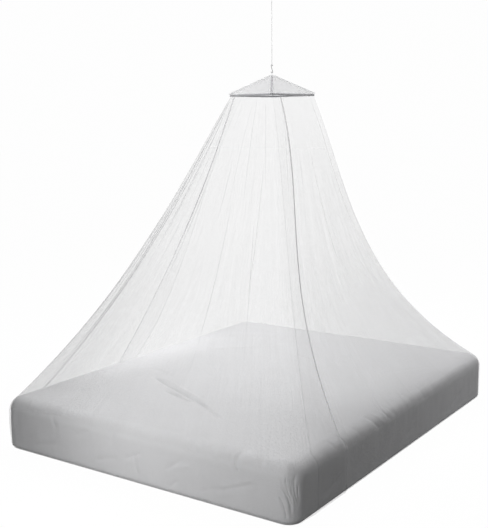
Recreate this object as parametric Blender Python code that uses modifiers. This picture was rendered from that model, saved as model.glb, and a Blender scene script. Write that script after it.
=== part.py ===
"""A mosquito net canopy hung from one cord over a double mattress.

Metres, +Z up, +Y from the foot of the mattress to its head. The origin is on the floor under the
middle of the mattress. A small square spreader frame hangs from a hook and carries a pyramid roof
of four panels. Two wall panels are gathered under the frame, spread to the mattress, and fall over
its edges down to the floor. They lap at an entrance on each long side.
"""

import math

import bmesh
import bpy
import numpy as np
from mathutils import Matrix, Vector

# Mattress
MATTRESS_WIDTH = 1.60
MATTRESS_LENGTH = 2.00
MATTRESS_HEIGHT = 0.25
CORNER_RADIUS = 0.07
TOP_RADIUS = 0.065
BASE_RADIUS = 0.03

# Spreader frame and the band sewn round it
HANG_Y = 0.10
FRAME_SIDE = 0.293
FRAME_HEIGHT = 1.648
FRAME_TURN = math.radians(-13.6)
FRAME_CORNER = 0.004
ROD_DIAMETER = 0.006
BAND_HEIGHT = 0.010
BAND_THICKNESS = 0.001
GAP = 0.0003
HANG_GAP = 0.0004

# Roof
APEX_HEIGHT = 1.747
ROOF_THICKNESS = 0.0012
ROOF_SAG = 0.005
ROOF_TIP = 0.0015
RIDGE_GAP = 0.0009
TAPE_WIDTH = 0.008
TAPE_THICKNESS = 0.001
TAPE_START = 0.0065

# Walls
NET_THICKNESS = 0.0012
CLEARANCE = 0.0036
TOUCH_ANGLE = math.radians(30)
HEM_ANGLE = math.radians(42)
LAP_GAP_TOP = 0.0024
LAP_GAP = 0.0042
LAP_EASE = 0.045
LAP_DROP = 0.10
TOP_INSET = 0.0015
TOP_RIPPLE = 0.25
SIDE_RIPPLE = 0.25
WRAP_SLACK = 0.001
HEM_WIDTH = 0.009
BINDING_WIDTH = 0.008
BINDING_GAP = 0.0004

# Loop, hook and cord
LOOP_RADIUS = 0.007
LOOP_TAPE = 0.0026
LOOP_SEAT = 0.0013
HOOK_WIRE = 0.0024
HOOK_BEND = 0.004
HOOK_LENGTH = 0.040
HOOK_TURN = math.radians(34)
EYE_RADIUS = 0.0035
CORD_DIAMETER = 0.0025
CORD_LENGTH = 0.39
CORD_LOOP_RADIUS = 0.012

# Stations count the corners round the bed and round the frame: 0 and 1 are the foot's left and
# right corners, 2 and 3 the head's right and left ones. Each row is one hanging line of the net:
# the slopes are its outward run per share of the drop, against the average of 1.
# bed station, frame station, slope at the frame, slope at the mattress
HANGING_LINES = (
    (0.00, 0.00, 0.77, 1.55),
    (0.50, 0.48, 0.85, 1.75),
    (1.00, 0.97, 1.00, 1.60),
    (1.083, 1.03, 1.18, 1.50),
    (1.20, 1.212, 1.45, 3.10),
    (1.55, 1.55, 0.90, 2.40),
    (2.00, 2.03, 0.64, 2.35),
    (2.50, 2.52, 0.80, 1.90),
    (3.00, 3.02, 0.80, 1.70),
    (3.543, 3.72, 1.24, 1.58),
    (3.614, 3.925, 0.60, 1.22),
    (4.00, 4.00, 0.77, 1.55),
)

FOOT_PANEL = (3.543, 5.20)
HEAD_PANEL = (1.083, 3.614)

# bed station, half width in stations, height under the frame, half way down, above the mattress
FOLDS = (
    (0.020, 0.020, 0.006, 0.014, 0.006),
    (0.075, 0.024, 0.008, 0.018, 0.008),
    (0.140, 0.030, 0.006, 0.012, 0.004),
    (0.235, 0.036, 0.007, 0.009, 0.003),
    (0.340, 0.030, 0.005, 0.012, 0.005),
    (0.450, 0.045, 0.007, 0.010, 0.006),
    (0.555, 0.032, 0.006, 0.013, 0.008),
    (0.650, 0.040, 0.007, 0.011, 0.005),
    (0.760, 0.034, 0.005, 0.014, 0.007),
    (0.860, 0.040, 0.006, 0.012, 0.008),
    (0.955, 0.030, 0.006, 0.012, 0.005),
    (1.045, 0.030, 0.006, 0.010, 0.004),
    (1.270, 0.045, 0.006, 0.010, 0.007),
    (1.400, 0.040, 0.004, 0.008, 0.004),
    (1.560, 0.060, 0.006, 0.009, 0.005),
    (1.740, 0.050, 0.005, 0.008, 0.004),
    (1.900, 0.045, 0.006, 0.010, 0.005),
    (2.010, 0.026, 0.006, 0.012, 0.004),
    (2.130, 0.045, 0.006, 0.012, 0.006),
    (2.300, 0.060, 0.006, 0.014, 0.008),
    (2.470, 0.045, 0.005, 0.010, 0.005),
    (2.620, 0.050, 0.006, 0.012, 0.007),
    (2.800, 0.060, 0.006, 0.013, 0.006),
    (2.960, 0.035, 0.006, 0.010, 0.005),
    (3.090, 0.045, 0.006, 0.012, 0.006),
    (3.260, 0.050, 0.005, 0.010, 0.005),
    (3.420, 0.050, 0.006, 0.012, 0.006),
    (3.690, 0.034, 0.003, 0.012, 0.006),
    (3.790, 0.036, 0.003, 0.014, 0.007),
    (3.870, 0.026, 0.002, 0.015, 0.007),
    (3.925, 0.020, 0.002, 0.013, 0.006),
    (3.970, 0.018, 0.002, 0.011, 0.005),
)

# Shares of the drop where a fold has these heights: a ripple, its three stated ones, a ripple
FOLD_DROPS = (0.0, 0.10, 0.50, 0.85, 1.0)

# The grid of a wall: rows down the net, and columns at these shares of each fold's half width
DROPS = (0.0, 0.04, 0.10, 0.20, 0.32, 0.45, 0.58, 0.70, 0.81, 0.91, 1.0)
WRAP_STEPS = 3
HEM_STEPS = 2
FOLD_SHARES = (-1, -0.4, 0.4, 1)
CORNER_STEPS = 3
WIDEST_STEP = 0.08
NARROWEST_STEP = 0.013
PLAIN_REACH = 0.058

BAND_OFFSET = ROD_DIAMETER / 2 + GAP + BAND_THICKNESS / 2
BAND_TOP = FRAME_HEIGHT + BAND_HEIGHT / 2
WALL_TOP = FRAME_HEIGHT - BAND_HEIGHT / 2 - GAP - NET_THICKNESS / 3
CORNERS = ((-1, -1), (1, -1), (1, 1), (-1, 1))

COLLECTION = bpy.data.collections.new("mosquito_net_canopy")


def clear_scene():
    for obj in list(bpy.data.objects):
        bpy.data.objects.remove(obj, do_unlink=True)
    bpy.context.scene.collection.children.link(COLLECTION)


def make_material(name, color, roughness, metallic=0.0, alpha=1.0):
    material = bpy.data.materials.new(name)
    material.use_nodes = True
    shader = material.node_tree.nodes["Principled BSDF"]
    shader.inputs["Base Color"].default_value = (*color, 1.0)
    shader.inputs["Roughness"].default_value = roughness
    shader.inputs["Metallic"].default_value = metallic
    shader.inputs["Alpha"].default_value = alpha
    return material


def add_object(name, data, material):
    obj = bpy.data.objects.new(name, data)
    COLLECTION.objects.link(obj)
    data.materials.append(material)
    return obj


# Outlines -------------------------------------------------------------------


def outline_point(station, half_x, half_y, radius):
    """A point and its outward normal on a rounded rectangle, at a station from 0 to 4."""
    side = int(station % 4)
    start = Vector((CORNERS[side][0] * half_x, CORNERS[side][1] * half_y))
    end_corner = CORNERS[(side + 1) % 4]
    end = Vector((end_corner[0] * half_x, end_corner[1] * half_y))
    along = (end - start).normalized()
    out = Vector((along.y, -along.x))
    length = (end - start).length
    distance = (station % 1) * length
    if distance < radius:
        angle = (distance / radius - 1) * math.pi / 4
        centre = start + radius * (along - out)
    elif distance > length - radius:
        angle = (1 - (length - distance) / radius) * math.pi / 4
        centre = end - radius * (along + out)
    else:
        return start + along * distance, out
    normal = out * math.cos(angle) + along * math.sin(angle)
    return centre + radius * normal, normal


def frame_point(station, offset):
    """A point this far outside the frame's centre line, in plan, and the outward normal there."""
    half = FRAME_SIDE / 2 + offset
    point, normal = outline_point(station, half, half, FRAME_CORNER + offset)
    turn = Matrix.Rotation(FRAME_TURN, 2)
    return turn @ point + Vector((0, HANG_Y)), turn @ normal


def frame_loop(offset, corner_steps=4):
    """Points round the frame at this offset: the straight sides' ends and the corner arcs."""
    half = FRAME_SIDE / 2 + offset
    reach = (FRAME_CORNER + offset) / (2 * half)
    shares = [-reach + 2 * reach * i / corner_steps for i in range(corner_steps + 1)]
    return [frame_point((corner + share) % 4, offset)[0] for corner in range(4) for share in shares]


# Sheets -----------------------------------------------------------------------


def sheet(name, rows, thickness, material, closed=False, even=False):
    """A thin solid on a grid of points: a list of rows, each from one end of the sheet to the other."""
    mesh = bpy.data.meshes.new(name)
    points = [tuple(point) for row in rows for point in row]
    count = len(rows[0])
    faces = []
    for r in range(len(rows) - 1):
        for c in range(count if closed else count - 1):
            near, far = r * count + c, r * count + (c + 1) % count
            faces.append((near, far, far + count))
            faces.append((near, far + count, near + count))
    mesh.from_pydata(points, [], faces)
    mesh.shade_smooth()
    obj = add_object(name, mesh, material)
    solidify = obj.modifiers.new("Thickness", "SOLIDIFY")
    solidify.thickness = thickness
    solidify.offset = 0
    solidify.use_even_offset = even
    return obj


def hanging_value(station, column):
    """A column of the hanging lines' table at a bed station, between its rows."""
    places = [line[0] for line in HANGING_LINES]
    values = [line[column] for line in HANGING_LINES]
    return float(np.interp(station % 4, places, values))


def smooth_step(share):
    share = min(max(share, 0.0), 1.0)
    return share * share * (3 - 2 * share)


def fold_height(station, drop):
    """How far the folds stand out of the net here. drop runs from 0 at the frame to 1 at the bed."""
    total = 0.0
    for centre, half_width, top, middle, low in FOLDS:
        away = abs((station - centre + 2) % 4 - 2)
        if away < half_width:
            heights = (top * TOP_RIPPLE, top, middle, low, low * SIDE_RIPPLE)
            height = float(np.interp(drop, FOLD_DROPS, heights))
            total += height * math.cos(math.pi / 2 * away / half_width) ** 2
    return total


def lap_offset(station, panel, drop):
    """The bound edge of each panel, its last one, lies outside the other panel's plain edge."""
    other = HEAD_PANEL if panel is FOOT_PANEL else FOOT_PANEL
    lap_start = other[0] if other[0] > panel[0] else other[0] + 4
    share = smooth_step((station - lap_start + LAP_EASE) / LAP_EASE)
    return share * float(np.interp(drop, (0, LAP_DROP), (LAP_GAP_TOP, LAP_GAP)))


def net_point(station, drop):
    """A point of the bare, unfolded net, from 0 at the frame to 1 where it touches the bed."""
    top = frame_point(hanging_value(station, 1), TOP_INSET)[0]
    slope_top = hanging_value(station, 2)
    slope_low = hanging_value(station, 3)
    touch = wrap_point(station, TOUCH_ANGLE, 0.0)
    run = (drop**3 - 2 * drop**2 + drop) * slope_top + (drop**3 - drop**2) * slope_low
    run += 3 * drop**2 - 2 * drop**3
    flat = top.lerp(touch.xy, run)
    return Vector((*flat, WALL_TOP + (touch.z - WALL_TOP) * drop))


def net_normal(station, drop, reach=0.004):
    low, high = max(drop - reach, 0), min(drop + reach, 1)
    down = net_point(station, high) - net_point(station, low)
    along = net_point(station + reach, drop) - net_point(station - reach, drop)
    return down.cross(along).normalized()


def wrap_point(station, angle, lift):
    """A point round the mattress's top edge. The angle is from upright, 90 degrees at its side."""
    edge, out = outline_point(station, MATTRESS_WIDTH / 2, MATTRESS_LENGTH / 2, CORNER_RADIUS)
    reach = TOP_RADIUS + CLEARANCE + lift
    flat = edge + out * (reach * math.sin(angle) - TOP_RADIUS)
    return Vector((*flat, MATTRESS_HEIGHT - TOP_RADIUS + reach * math.cos(angle)))


def hem_point(station, angle, lift):
    """A point round the mattress's base edge. The angle is from level, 0 at its side."""
    edge, out = outline_point(station, MATTRESS_WIDTH / 2, MATTRESS_LENGTH / 2, CORNER_RADIUS)
    reach = BASE_RADIUS + CLEARANCE + lift
    flat = edge + out * (reach * math.cos(angle) - BASE_RADIUS)
    return Vector((*flat, BASE_RADIUS - reach * math.sin(angle)))


def hanging_line(station, panel):
    """One line of the net, from the frame over the mattress's edge to the hem at the floor."""
    points = []
    for drop in DROPS:
        lift = fold_height(station, drop) + lap_offset(station, panel, drop)
        points.append(net_point(station, drop) + net_normal(station, drop) * lift)
    points[0].z = WALL_TOP
    ripple = fold_height(station, 1.0)
    lift = lap_offset(station, panel, 1.0)
    wrap = (math.pi / 2 - TOUCH_ANGLE) / WRAP_STEPS
    for i in range(1, WRAP_STEPS + 1):
        points.append(wrap_point(station, TOUCH_ANGLE + wrap * i, lift + ripple + WRAP_SLACK))
    half_way = (MATTRESS_HEIGHT - TOP_RADIUS + BASE_RADIUS) / 2
    side = hem_point(station, 0, lift + 2 * ripple)
    points.append(Vector((side.x, side.y, half_way)))
    points += [hem_point(station, HEM_ANGLE * i / HEM_STEPS, lift) for i in range(HEM_STEPS + 1)]
    return points


def corner_stations():
    """Stations round each corner of the bed, counted on to the end of the second turn."""
    found = set()
    for corner in range(9):
        before, after = MATTRESS_LENGTH, MATTRESS_WIDTH
        if corner % 2:
            before, after = after, before
        for i in range(-CORNER_STEPS, CORNER_STEPS + 1):
            found.add(corner + i / CORNER_STEPS * CORNER_RADIUS / (after if i > 0 else before))
    return found


def stations(first, last):
    """Where a panel's hanging lines go: at its folds' feet and flanks, and round the corners."""
    ends = {end + turn for panel in (FOOT_PANEL, HEAD_PANEL) for end in panel for turn in (-4, 0, 4)}
    fixed = {station for station in corner_stations() | ends if first <= station <= last}
    wanted = set(fixed)
    for turn in (0, 4):
        for centre, half_width, *_ in FOLDS:
            for share in FOLD_SHARES:
                station = centre + turn + half_width * share
                if first <= station <= last and min(abs(station - f) for f in fixed) > NARROWEST_STEP:
                    wanted.add(station)
    inside = sorted(value for value in wanted if value <= last - PLAIN_REACH or value == last)
    kept = [inside[0]]
    for value in inside[1:]:
        start = kept[-1]
        if value - start < NARROWEST_STEP and value not in fixed:
            continue
        pieces = math.ceil((value - start) / WIDEST_STEP)
        kept += [start + (value - start) * i / pieces for i in range(1, pieces + 1)]
    return kept


def panel_lines(panel):
    """The hanging lines of a panel. The last but one keeps an even width of hem to the bound edge."""
    lines = [hanging_line(station, panel) for station in stations(*panel)]
    hem = [edge + (inner - edge).normalized() * HEM_WIDTH for inner, edge in zip(*lines[-2:])]
    return lines[:-1] + [hem, lines[-1]]


def make_wall(name, panel, material):
    return sheet(name, list(zip(*panel_lines(panel))), NET_THICKNESS, material)


def make_binding(name, panel, material):
    """A tape along the bound edge of a wall panel, on its outer face, from just under the band."""
    hem, edge = panel_lines(panel)[-2:]
    lift = NET_THICKNESS / 2 + BINDING_GAP + TAPE_THICKNESS / 2
    rows = []
    for i, (inner, point) in enumerate(zip(hem, edge)):
        down = (edge[min(i + 1, len(edge) - 1)] - edge[max(i - 1, 0)]).normalized()
        across = (inner - point).normalized()
        start = point + across.cross(down).normalized() * lift
        if i == 0:
            start += down * TAPE_THICKNESS
        rows.append([start + across * BINDING_WIDTH, start])
    return sheet(name, rows, TAPE_THICKNESS, material)


# Roof ---------------------------------------------------------------------------


def roof_axes(side):
    """The outward and along directions of one side of the frame, in plan."""
    turn = Matrix.Rotation(FRAME_TURN + side * math.pi / 2, 3, "Z")
    return turn @ Vector((0, -1, 0)), turn @ Vector((1, 0, 0))


def roof_sizes():
    half = FRAME_SIDE / 2 + BAND_OFFSET
    base = BAND_TOP + GAP + ROOF_THICKNESS / 2
    return half, base, APEX_HEIGHT - base


def make_roof_panel(name, side, material, rows=6, columns=7):
    out, along = roof_axes(side)
    half, base, rise = roof_sizes()
    normal = (out * rise + Vector((0, 0, half))).normalized()
    centre = Vector((0, HANG_Y, base))
    highest = 1 - (ROOF_TIP + RIDGE_GAP) / half
    grid = []
    for r in range(rows):
        v = highest * r / (rows - 1)
        half_row = half * (1 - v) - RIDGE_GAP
        middle = centre + out * half * (1 - v) + Vector((0, 0, rise * v))
        line = []
        for c in range(columns):
            u = 2 * c / (columns - 1) - 1
            sag = ROOF_SAG * (1 - u * u) ** 2 * math.sin(math.pi * r / (rows - 1))
            line.append(middle + along * half_row * u - normal * sag)
        grid.append(line)
    return sheet(name, grid, ROOF_THICKNESS, material)


def make_ridge_tape(name, corner, material, rows=5):
    """A binding folded over the ridge that rises from one corner of the frame."""
    out_a, _ = roof_axes(corner - 1)
    out_b, _ = roof_axes(corner)
    half, base, rise = roof_sizes()
    normal_a = (out_a * rise + Vector((0, 0, half))).normalized()
    normal_b = (out_b * rise + Vector((0, 0, half))).normalized()
    ridge = ((out_a + out_b) * half + Vector((0, 0, -rise))).normalized()
    side_a = ridge.cross(normal_a).normalized()
    side_b = normal_b.cross(ridge).normalized()
    lift = ROOF_THICKNESS / 2 + GAP + TAPE_THICKNESS / 2
    apex = Vector((0, HANG_Y, base + rise))
    length = (half * math.sqrt(2)) / ridge.xy.length
    start = TAPE_START / ridge.xy.length
    grid = []
    for r in range(rows):
        point = apex + ridge * (start + (length - start) * r / (rows - 1))
        crest = point + lift * (normal_a + normal_b) / (1 + normal_a.dot(normal_b))
        flank_a = crest - side_a * TAPE_WIDTH / 2
        flank_b = crest - side_b * TAPE_WIDTH / 2
        grid.append([flank_a, crest, flank_b])
    return sheet(name, grid, TAPE_THICKNESS, material, even=True)


# Frame, loop, hook and cord ---------------------------------------------------------


def make_wire(name, points, diameter, material, cyclic=False):
    curve = bpy.data.curves.new(name, "CURVE")
    curve.dimensions = "3D"
    curve.bevel_depth = diameter / 2
    curve.bevel_resolution = 2
    curve.use_fill_caps = not cyclic
    spline = curve.splines.new("POLY")
    spline.points.add(len(points) - 1)
    for spot, point in zip(spline.points, points):
        spot.co = (*point, 1.0)
    spline.use_cyclic_u = cyclic
    return add_object(name, curve, material)


def make_frame(material):
    points = [(*point, FRAME_HEIGHT) for point in frame_loop(0.0)]
    return make_wire("spreader_frame", points, ROD_DIAMETER, material, cyclic=True)


def make_band(material):
    outline = frame_loop(BAND_OFFSET)
    heights = (BAND_TOP, BAND_TOP - BAND_HEIGHT)
    rows = [[(*point, height) for point in outline] for height in heights]
    return sheet("frame_band", rows, BAND_THICKNESS, material, closed=True)


def upright_ring(name, height, radius, diameter, material, steps=16):
    """A ring standing across the hook's plane."""
    across = Vector((-math.sin(HOOK_TURN), math.cos(HOOK_TURN), 0))
    centre = Vector((0, HANG_Y, height))
    angles = [2 * math.pi * i / steps for i in range(steps)]
    points = [centre + radius * (across * math.sin(a) + Vector((0, 0, math.cos(a)))) for a in angles]
    return make_wire(name, points, diameter, material, cyclic=True)


def make_hook(low_centre, high_centre, material, steps=7):
    """An S of wire: the lower bend opens to the left, the upper one to the right."""
    across = Vector((math.cos(HOOK_TURN), math.sin(HOOK_TURN), 0))
    # centre's height, first angle, last angle
    bends = ((low_centre, -200, 0), (high_centre, 180, -20))
    points = []
    for height, first, last in bends:
        for i in range(steps):
            angle = math.radians(first + (last - first) * i / (steps - 1))
            flat = Vector((0, HANG_Y, height)) + across * HOOK_BEND * math.cos(angle)
            points.append(flat + Vector((0, 0, HOOK_BEND * math.sin(angle))))
    return make_wire("steel_hook", points, HOOK_WIRE, material)


def make_hanging(tape, steel, cord):
    """Loop, hook, cord eye, cord and its top loop, each hanging in the next one up."""
    loop_height = APEX_HEIGHT - LOOP_SEAT + LOOP_RADIUS + LOOP_TAPE / 2
    upright_ring("apex_loop", loop_height, LOOP_RADIUS, LOOP_TAPE, tape)
    loop_low_face = loop_height + LOOP_RADIUS - LOOP_TAPE / 2
    low_centre = loop_low_face - HANG_GAP - HOOK_WIRE / 2 + HOOK_BEND
    high_centre = low_centre + HOOK_LENGTH - 2 * HOOK_BEND - HOOK_WIRE
    make_hook(low_centre, high_centre, steel)
    hook_low_face = high_centre + HOOK_BEND - HOOK_WIRE / 2
    eye_height = hook_low_face - HANG_GAP - CORD_DIAMETER / 2 + EYE_RADIUS
    upright_ring("cord_eye", eye_height, EYE_RADIUS, CORD_DIAMETER, cord, steps=12)
    cord_start = eye_height + EYE_RADIUS + CORD_DIAMETER / 2 + GAP
    cord_end = cord_start + CORD_LENGTH
    count = round(CORD_LENGTH / (3 * CORD_DIAMETER)) + 1
    heights = [cord_start + CORD_LENGTH * i / (count - 1) for i in range(count)]
    make_wire("hanging_cord", [(0, HANG_Y, height) for height in heights], CORD_DIAMETER, cord)
    top_height = cord_end + GAP + CORD_DIAMETER / 2 + CORD_LOOP_RADIUS
    upright_ring("cord_top_loop", top_height, CORD_LOOP_RADIUS, CORD_DIAMETER, cord, steps=20)


# Mattress -----------------------------------------------------------------------------


def edges_between(form, low, high):
    """The edges whose lower end is at one height and whose upper end is at the other."""
    found = []
    for edge in form.edges:
        ends = sorted(vert.co.z for vert in edge.verts)
        if math.isclose(ends[0], low, abs_tol=GAP) and math.isclose(ends[1], high, abs_tol=GAP):
            found.append(edge)
    return found


def make_mattress(material):
    mesh = bpy.data.meshes.new("mattress")
    form = bmesh.new()
    size = Matrix.Diagonal((MATTRESS_WIDTH, MATTRESS_LENGTH, MATTRESS_HEIGHT, 1))
    place = Matrix.Translation((0, 0, MATTRESS_HEIGHT / 2))
    bmesh.ops.create_cube(form, size=1, matrix=place @ size)
    # low end, high end, radius, segments
    rounding = (
        (0, MATTRESS_HEIGHT, CORNER_RADIUS, 8),
        (MATTRESS_HEIGHT, MATTRESS_HEIGHT, TOP_RADIUS, 6),
        (0, 0, BASE_RADIUS, 4),
    )
    for low, high, radius, segments in rounding:
        edges = edges_between(form, low, high)
        bmesh.ops.bevel(form, geom=edges, offset=radius, segments=segments, profile=0.5, affect="EDGES")
    form.to_mesh(mesh)
    form.free()
    mesh.shade_smooth()
    mesh.set_sharp_from_angle(angle=math.radians(40))
    return add_object("mattress", mesh, material)


def main():
    clear_scene()
    cotton = make_material("white_cotton", (0.80, 0.80, 0.81), 0.9)
    net = make_material("white_net", (0.86, 0.87, 0.88), 0.8, alpha=0.3)
    roof_cloth = make_material("roof_cloth", (0.80, 0.81, 0.82), 0.85)
    tape = make_material("grey_tape", (0.42, 0.43, 0.45), 0.8)
    rod = make_material("frame_rod", (0.30, 0.31, 0.33), 0.5)
    steel = make_material("plain_steel", (0.55, 0.55, 0.56), 0.35, metallic=1.0)
    cord = make_material("white_cord", (0.85, 0.85, 0.84), 0.8)

    make_mattress(cotton)
    make_wall("wall_foot", FOOT_PANEL, net)
    make_wall("wall_head", HEAD_PANEL, net)
    make_binding("binding_right", FOOT_PANEL, tape)
    make_binding("binding_left", HEAD_PANEL, tape)
    make_frame(rod)
    make_band(tape)
    for side in range(4):
        make_roof_panel(f"roof_panel_{side + 1}", side, roof_cloth)
        make_ridge_tape(f"ridge_tape_{side + 1}", side, tape)
    make_hanging(tape, steel, cord)


main()
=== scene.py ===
import math

import bmesh
import bpy
import numpy as np
from mathutils import Matrix, Vector


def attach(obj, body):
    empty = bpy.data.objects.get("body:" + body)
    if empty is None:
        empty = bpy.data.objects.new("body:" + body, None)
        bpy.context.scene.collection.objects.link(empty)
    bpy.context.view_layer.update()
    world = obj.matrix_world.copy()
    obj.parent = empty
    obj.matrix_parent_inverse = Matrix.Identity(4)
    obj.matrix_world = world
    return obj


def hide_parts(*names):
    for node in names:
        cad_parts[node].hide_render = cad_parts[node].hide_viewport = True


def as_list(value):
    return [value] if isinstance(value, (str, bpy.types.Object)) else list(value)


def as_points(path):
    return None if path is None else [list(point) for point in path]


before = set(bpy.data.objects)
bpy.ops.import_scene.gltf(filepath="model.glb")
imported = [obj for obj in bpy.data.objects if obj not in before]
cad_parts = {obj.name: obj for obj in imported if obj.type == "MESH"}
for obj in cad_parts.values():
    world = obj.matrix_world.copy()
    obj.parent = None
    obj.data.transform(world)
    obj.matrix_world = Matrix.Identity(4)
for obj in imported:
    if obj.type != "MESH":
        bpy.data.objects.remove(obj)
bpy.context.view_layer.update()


def thousandths(columns, *rows):
    """A table whose rows give these columns in thousandths of a metre or of a station."""
    return [[v / 1000 if i in columns else v for i, v in enumerate(row)] for row in rows]


# The part's own sizes, in metres --------------------------

MATTRESS_WIDTH = 1.60
MATTRESS_LENGTH = 2.00
MATTRESS_HEIGHT = 0.25
CORNER_RADIUS = 0.07
TOP_RADIUS = 0.065
BASE_RADIUS = 0.03

HANG_Y = 0.10
FRAME_SIDE = 0.293
FRAME_HEIGHT = 1.648
FRAME_TURN = math.radians(-13.6)
FRAME_CORNER = 0.004
ROD_DIAMETER = 0.006
BAND_HEIGHT = 0.010
BAND_THICKNESS = 0.001
GAP = 0.0003
HANG_GAP = 0.0004

APEX_HEIGHT = 1.747
ROOF_THICKNESS = 0.0012
ROOF_SAG = 0.005
ROOF_TIP = 0.0015
RIDGE_GAP = 0.0009
ROOF_PULL = 0.0007
# How thick the roof's cloth and tapes, and the band, are beside their solids
CLOTH_SHARE = 0.8
BAND_SHARE = 0.9
TAPE_WIDTH = 0.008
TAPE_THICKNESS = 0.001
TAPE_START = 0.0065

NET_THICKNESS = 0.0012
CLEARANCE = 0.0036
TOUCH_ANGLE = math.radians(30)
HEM_ANGLE = math.radians(42)
LAP_GAP_TOP = 0.0024
LAP_GAP = 0.0042
LAP_EASE = 0.045
LAP_DROP = 0.10
TOP_INSET = 0.0015
TOP_RIPPLE = 0.25
SIDE_RIPPLE = 0.25
WRAP_SLACK = 0.001
HEM_WIDTH = 0.009
BINDING_WIDTH = 0.008

LOOP_RADIUS = 0.007
LOOP_TAPE = 0.0026
LOOP_SEAT = 0.0013
HOOK_WIRE = 0.0024
HOOK_BEND = 0.004
HOOK_LENGTH = 0.040
HOOK_TURN = math.radians(34)
HOOK_SPIN = math.radians(200)
HOOK_SIDES = 20
HOOK_STEPS = 30
EYE_RADIUS = 0.0035
CORD_DIAMETER = 0.0025
CORD_LENGTH = 0.39
CORD_LOOP_RADIUS = 0.012
STRANDS = {"lobes": 6, "twist": 900.0, "depth": 0.14}

BAND_OFFSET = ROD_DIAMETER / 2 + GAP + BAND_THICKNESS / 2
BAND_TOP = FRAME_HEIGHT + BAND_HEIGHT / 2
WALL_TOP = FRAME_HEIGHT - BAND_HEIGHT / 2 - GAP - NET_THICKNESS / 3
CORNERS = np.array(((-1, -1), (1, -1), (1, 1), (-1, 1)), float)
BED_HALF = np.array((MATTRESS_WIDTH / 2, MATTRESS_LENGTH / 2))
# How far to each side of a point the net's directions are taken, in stations and in drop
NEAR = 0.004

# Stations count the corners round the bed and round the frame, from the foot's left corner.
# bed station, frame station, slope at the frame, slope at the mattress
HANGING_LINES = (
    (0.00, 0.00, 0.77, 1.55),
    (0.50, 0.48, 0.85, 1.75),
    (1.00, 0.97, 1.00, 1.60),
    (1.083, 1.03, 1.18, 1.50),
    (1.20, 1.212, 1.45, 3.10),
    (1.55, 1.55, 0.90, 2.40),
    (2.00, 2.03, 0.64, 2.35),
    (2.50, 2.52, 0.80, 1.90),
    (3.00, 3.02, 0.80, 1.70),
    (3.543, 3.72, 1.24, 1.58),
    (3.614, 3.925, 0.60, 1.22),
    (4.00, 4.00, 0.77, 1.55),
)
FOOT_PANEL = (3.543, 5.20)
HEAD_PANEL = (1.083, 3.614)
PLAIN_REACH = 0.058

# bed station, half width, then the height under the frame, half way down, above the mattress
FOLDS = thousandths(
    (1, 2, 3, 4),
    (0.02, 20, 6, 14, 6),
    (0.075, 24, 8, 18, 8),
    (0.14, 30, 6, 12, 4),
    (0.235, 36, 7, 9, 3),
    (0.34, 30, 5, 12, 5),
    (0.45, 45, 7, 10, 6),
    (0.555, 32, 6, 13, 8),
    (0.65, 40, 7, 11, 5),
    (0.76, 34, 5, 14, 7),
    (0.86, 40, 6, 12, 8),
    (0.955, 30, 6, 12, 5),
    (1.045, 30, 6, 10, 4),
    (1.27, 45, 6, 10, 7),
    (1.4, 40, 4, 8, 4),
    (1.56, 60, 6, 9, 5),
    (1.74, 50, 5, 8, 4),
    (1.9, 45, 6, 10, 5),
    (2.01, 26, 6, 12, 4),
    (2.13, 45, 6, 12, 6),
    (2.3, 60, 6, 14, 8),
    (2.47, 45, 5, 10, 5),
    (2.62, 50, 6, 12, 7),
    (2.8, 60, 6, 13, 6),
    (2.96, 35, 6, 10, 5),
    (3.09, 45, 6, 12, 6),
    (3.26, 50, 5, 10, 5),
    (3.42, 50, 6, 12, 6),
    (3.69, 34, 3, 12, 6),
    (3.79, 36, 3, 14, 7),
    (3.87, 26, 2, 15, 7),
    (3.925, 20, 2, 13, 6),
    (3.97, 18, 2, 11, 5),
)
FOLD_DROPS = (0.0, 0.10, 0.50, 0.85, 1.0)
FOLDS_START = 0.04

# Finer folds, only on the sheer cloth: spacing and half width in stations, height in metres
PLEAT_SPACING = (0.010, 0.034)
PLEAT_HALF_WIDTH = (0.0035, 0.009)
PLEAT_HEIGHT = (0.0012, 0.0042)
PLEAT_SEED = 11
# Between these two stations the finer folds have this share of their height
CALM_SIDE = (1.25, 3.0, 0.45)

# Tucks, where the cloth doubles back on itself: bed station, half width, how far it doubles
# back, first drop, last drop
TUCKS = thousandths(
    (1, 2),
    (0.078, 5, 6.2, -0.2, 0.95),
    (0.118, 4, 5, 0.05, 0.55),
    (0.205, 3.5, 3.6, -0.2, 0.3),
    (0.29, 3.5, 3.8, 0.2, 0.75),
    (0.395, 3, 3.4, -0.2, 0.25),
    (0.505, 3, 3.4, 0.15, 0.5),
    (0.6, 3.5, 3.6, 0.3, 0.9),
    (0.705, 3, 3.6, -0.2, 0.45),
    (0.815, 3.5, 3.4, 0.35, 0.85),
    (0.905, 3, 3.6, -0.2, 0.4),
    (1.33, 3, 3.2, 0.1, 0.5),
    (1.62, 3.5, 3.4, 0.25, 0.7),
    (2.09, 4, 4, -0.2, 0.6),
    (2.38, 4, 3.6, 0.1, 0.8),
    (2.72, 3.5, 3.6, -0.2, 0.5),
    (3.03, 4, 4, 0.2, 0.9),
    (3.32, 4, 3.6, -0.2, 0.5),
    (3.735, 4, 4.2, 0.1, 0.5),
    (3.822, 5, 5.8, -0.2, 0.62),
    (3.88, 6, 7.5, -0.2, 1.3),
    (3.945, 5, 6, -0.2, 0.7),
)

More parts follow.
